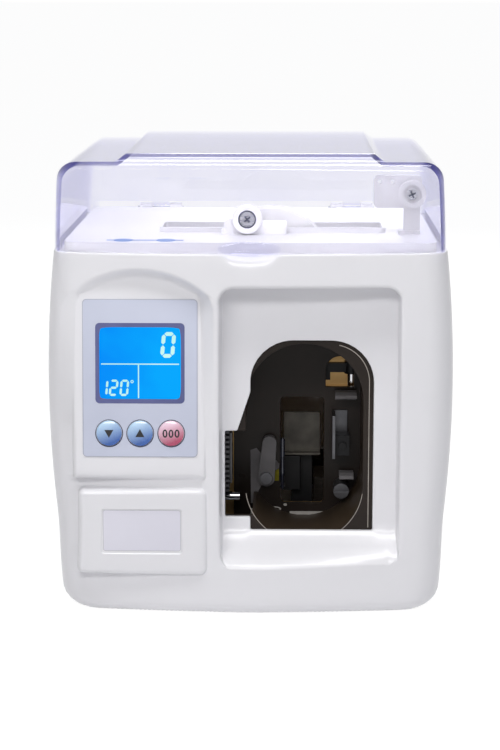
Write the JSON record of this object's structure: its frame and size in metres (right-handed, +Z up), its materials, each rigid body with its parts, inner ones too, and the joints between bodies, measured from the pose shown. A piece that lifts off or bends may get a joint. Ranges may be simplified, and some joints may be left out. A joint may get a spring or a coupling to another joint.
{
  "type": "banknote strapping machine",
  "caption": "bench machine that loops a paper band round a bundle of banknotes held in its front recess, with clear lid over the paper roll, console and sealing head",
  "frame": {"origin": "middle of the footprint on the surface it stands on", "axes": "+X to the viewer's right seen from the front, +Y to the back, +Z up; the front faces -Y"},
  "size_m": [0.246, 0.2245, 0.28],
  "materials": {
    "housing": "satin",
    "clear": "polished clear plastic",
    "steel": "brushed",
    "chrome": "polished",
    "rubber": "matt",
    "overlay": "satin film",
    "bezel": "satin",
    "glass_blue": "polished",
    "key_blue": "domed",
    "key_pink": "domed",
    "board": "soldered board",
    "marker": "printed film",
    "white_plastic": "satin",
    "paper": "uncoated",
    "dark_plate": "smoked",
    "aluminium": "machined",
    "brass": "polished",
    "dark_plastic": "moulded",
    "zinc": "zinc plated",
    "gear_white": "moulded nylon",
    "iron": "varnished",
    "grey_plastic": "moulded"
  },
  "bodies": {
    "root": {"front_cover": "housing", "rear_cover": "housing", "base_plate": "zinc", "foot": "rubber", "top_deck": "white_plastic", "hinge_pin": "steel", "keypad_overlay": "overlay", "display_bezel": "bezel", "display_glass": "glass_blue", "control_board": "board", "slot_marker": "marker", "retainer_bracket": "white_plastic", "knob_screw": "steel", "side_bracket": "white_plastic", "bracket_screw": "steel", "reel_axle": "steel", "track_front_plate": "dark_plate", "track_rail": "dark_plate", "track_back_plate": "dark_plate", "mechanism_plate": "zinc", "note_stop": "aluminium", "stop_bracket": "dark_plastic", "tape_chute": "steel", "finger_shaft": "chrome", "note_sensor": "dark_plastic", "sensor_bracket": "steel", "anvil_pin": "steel", "head_bracket": "zinc", "guide_rod": "chrome", "cam_motor": "zinc", "feed_motor": "zinc", "transformer": "iron", "power_board": "board", "power_inlet": "dark_plastic", "power_switch": "dark_plastic", "casing_screw": "steel"},
    "lid": {"lid": "clear"},
    "key_down": {"key_down": "key_blue"},
    "key_up": {"key_up": "key_blue"},
    "key_clear": {"key_clear": "key_pink"},
    "rocker": {"switch_rocker": "dark_plastic"},
    "reel": {"paper_roll": "paper", "reel_hub": "white_plastic"},
    "knob": {"retainer_knob": "white_plastic"},
    "feed_drive": {"feed_roller": "rubber", "feed_gear": "gear_white"},
    "pinch": {"pinch_roller": "rubber"},
    "feed_pinion": {"feed_pinion": "brass"},
    "camshaft": {"cam": "steel", "cam_gear": "gear_white"},
    "cam_pinion": {"cam_pinion": "brass"},
    "seal_head": {"heater_block": "aluminium", "heater_plate": "brass", "knife_blade": "steel", "follower_roller": "steel"},
    "finger": {"guide_finger": "dark_plastic"},
    "lever": {"press_lever": "grey_plastic"}
  },
  "joints": [
    {"name": "lid_hinge", "type": "hinge", "parent": "root", "child": "lid", "pos_m": [0, 0.104, 0.226], "axis": [-1, 0, 0], "range_deg": [0, 100]},
    {"name": "key_down_press", "type": "slide", "parent": "root", "child": "key_down", "axis": [0, 0.9945, -0.1045], "range_m": [0, 0.0008], "stiffness_N_per_m": 500, "springref_m": -0.0004},
    {"name": "key_up_press", "type": "slide", "parent": "root", "child": "key_up", "axis": [0, 0.9945, -0.1045], "range_m": [0, 0.0008], "stiffness_N_per_m": 500, "springref_m": -0.0004},
    {"name": "key_clear_press", "type": "slide", "parent": "root", "child": "key_clear", "axis": [0, 0.9945, -0.1045], "range_m": [0, 0.0008], "stiffness_N_per_m": 500, "springref_m": -0.0004},
    {"name": "rocker_tilt", "type": "hinge", "parent": "root", "child": "rocker", "pos_m": [0.012, 0.1055, 0.042], "axis": [1, 0, 0], "range_deg": [0, 18]},
    {"name": "reel_spin", "type": "hinge", "parent": "root", "child": "reel", "pos_m": [0.0127, -0.032, 0.206], "axis": [0, 1, 0], "continuous": true},
    {"name": "knob_turn", "type": "hinge", "parent": "root", "child": "knob", "pos_m": [-0.0025, -0.058, 0.2372], "axis": [0, 1, 0], "continuous": true},
    {"name": "feed_spin", "type": "hinge", "parent": "root", "child": "feed_drive", "pos_m": [-0.03245, -0.032, 0.145], "axis": [0, 1, 0], "continuous": true},
    {"name": "pinch_spin", "type": "hinge", "parent": "root", "child": "pinch", "pos_m": [-0.01415, -0.032, 0.145], "axis": [0, 1, 0], "continuous": true},
    {"name": "feed_motor_spin", "type": "hinge", "parent": "root", "child": "feed_pinion", "pos_m": [-0.05245, -0.011, 0.145], "axis": [0, 1, 0], "continuous": true},
    {"name": "cam_turn", "type": "hinge", "parent": "root", "child": "camshaft", "pos_m": [-0.078, -0.035, 0.082], "axis": [0, 1, 0], "range_deg": [0, 170]},
    {"name": "cam_motor_turn", "type": "hinge", "parent": "root", "child": "cam_pinion", "pos_m": [-0.078, -0.011, 0.0572], "axis": [0, 1, 0], "range_deg": [-600, 10]},
    {"name": "head_stroke", "type": "slide", "parent": "root", "child": "seal_head", "axis": [1, 0, 0], "range_m": [0, 0.00901]},
    {"name": "finger_swing", "type": "hinge", "parent": "root", "child": "finger", "pos_m": [0.064, -0.0085, 0.132], "axis": [0, 0, -1], "range_deg": [0, 25]},
    {"name": "lever_swing", "type": "hinge", "parent": "root", "child": "lever", "pos_m": [0.009, -0.023, 0.066], "axis": [0, 1, 0], "range_deg": [0, 15]}
  ],
  "couplings": [
    {"joint": "pinch_spin", "follows": "feed_spin", "ratio": -1},
    {"joint": "feed_motor_spin", "follows": "feed_spin", "ratio": -2.5714},
    {"joint": "cam_motor_turn", "follows": "cam_turn", "ratio": -3.4286},
    {"joint": "head_stroke", "follows": "cam_turn", "m_per_rad": 0.0030333}
  ]
}
